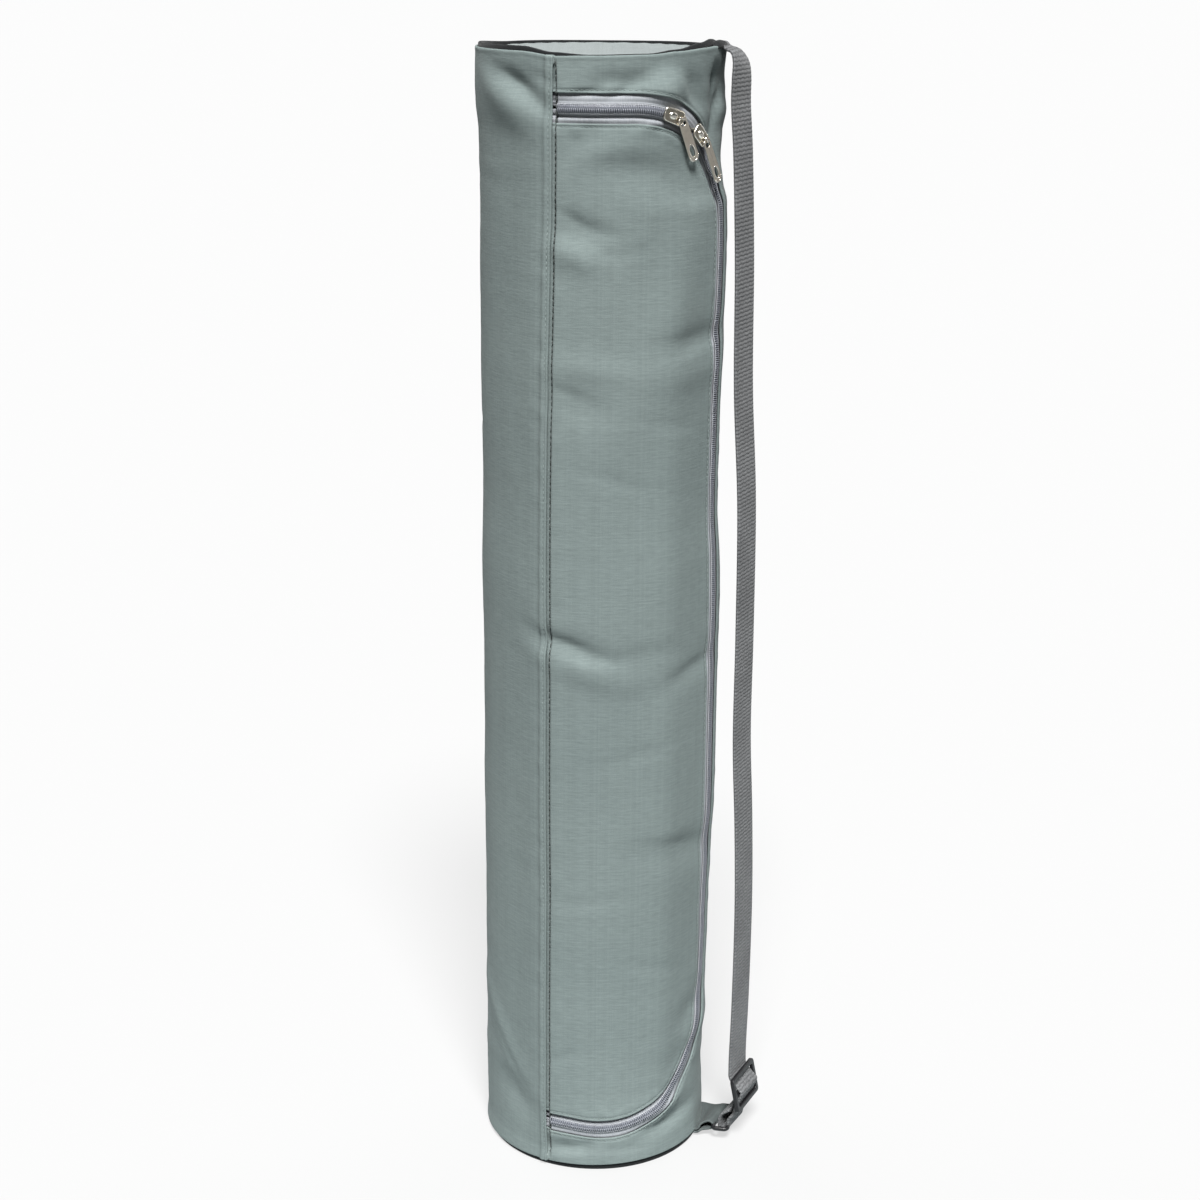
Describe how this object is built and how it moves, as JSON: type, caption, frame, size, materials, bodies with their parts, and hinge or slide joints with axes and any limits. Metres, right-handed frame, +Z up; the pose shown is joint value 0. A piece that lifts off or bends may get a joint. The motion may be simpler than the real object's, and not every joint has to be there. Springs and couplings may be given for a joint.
{
  "type": "yoga mat bag",
  "caption": "Tall round cloth bag for a rolled exercise mat, with a curved zipped door in front and an adjustable webbing strap down one side.",
  "frame": {"origin": "centre of the base's underside, on the floor", "axes": "+Z up along the bag, -Y out of the bag's front, +X towards the strap"},
  "size_m": [0.1828, 0.1445, 0.7062],
  "materials": {
    "cloth": "plain woven grey-green polyester",
    "binding": "black bias binding",
    "zip_tape": "fine twill zip tape, pale lavender grey",
    "zip_coil": "nylon coil, lavender grey",
    "nickel": "pale plated die-cast metal",
    "webbing": "ribbed grey polypropylene webbing",
    "plastic": "black moulded plastic, satin"
  },
  "bodies": {
    "bag": {"wall_panel": "cloth", "door_panel": "cloth", "hinge_seam": "cloth", "zip_tape_wall": "zip_tape", "zip_tape_door": "zip_tape", "zip_coil_upper": "zip_coil", "zip_coil_lower": "zip_coil", "upper_slider": "nickel", "lower_slider": "nickel", "top_binding": "binding", "top_panel": "cloth", "base_binding": "binding", "base_panel": "cloth", "strap": "webbing", "adjuster": "plastic", "strap_ring": "plastic", "strap_tab": "cloth"},
    "upper_pull_tab": {"upper_pull": "nickel"},
    "lower_pull_tab": {"lower_pull": "nickel"}
  },
  "joints": [
    {"name": "upper_pull_hinge", "type": "hinge", "parent": "bag", "child": "upper_pull_tab", "pos_m": [0.04371, -0.06155, 0.66555], "axis": [-0.7439, -0.4667, -0.4782], "range_deg": [0, 150]},
    {"name": "lower_pull_hinge", "type": "hinge", "parent": "bag", "child": "lower_pull_tab", "pos_m": [0.05828, -0.04579, 0.65225], "axis": [-0.5545, -0.6681, -0.4962], "range_deg": [0, 150]}
  ]
}
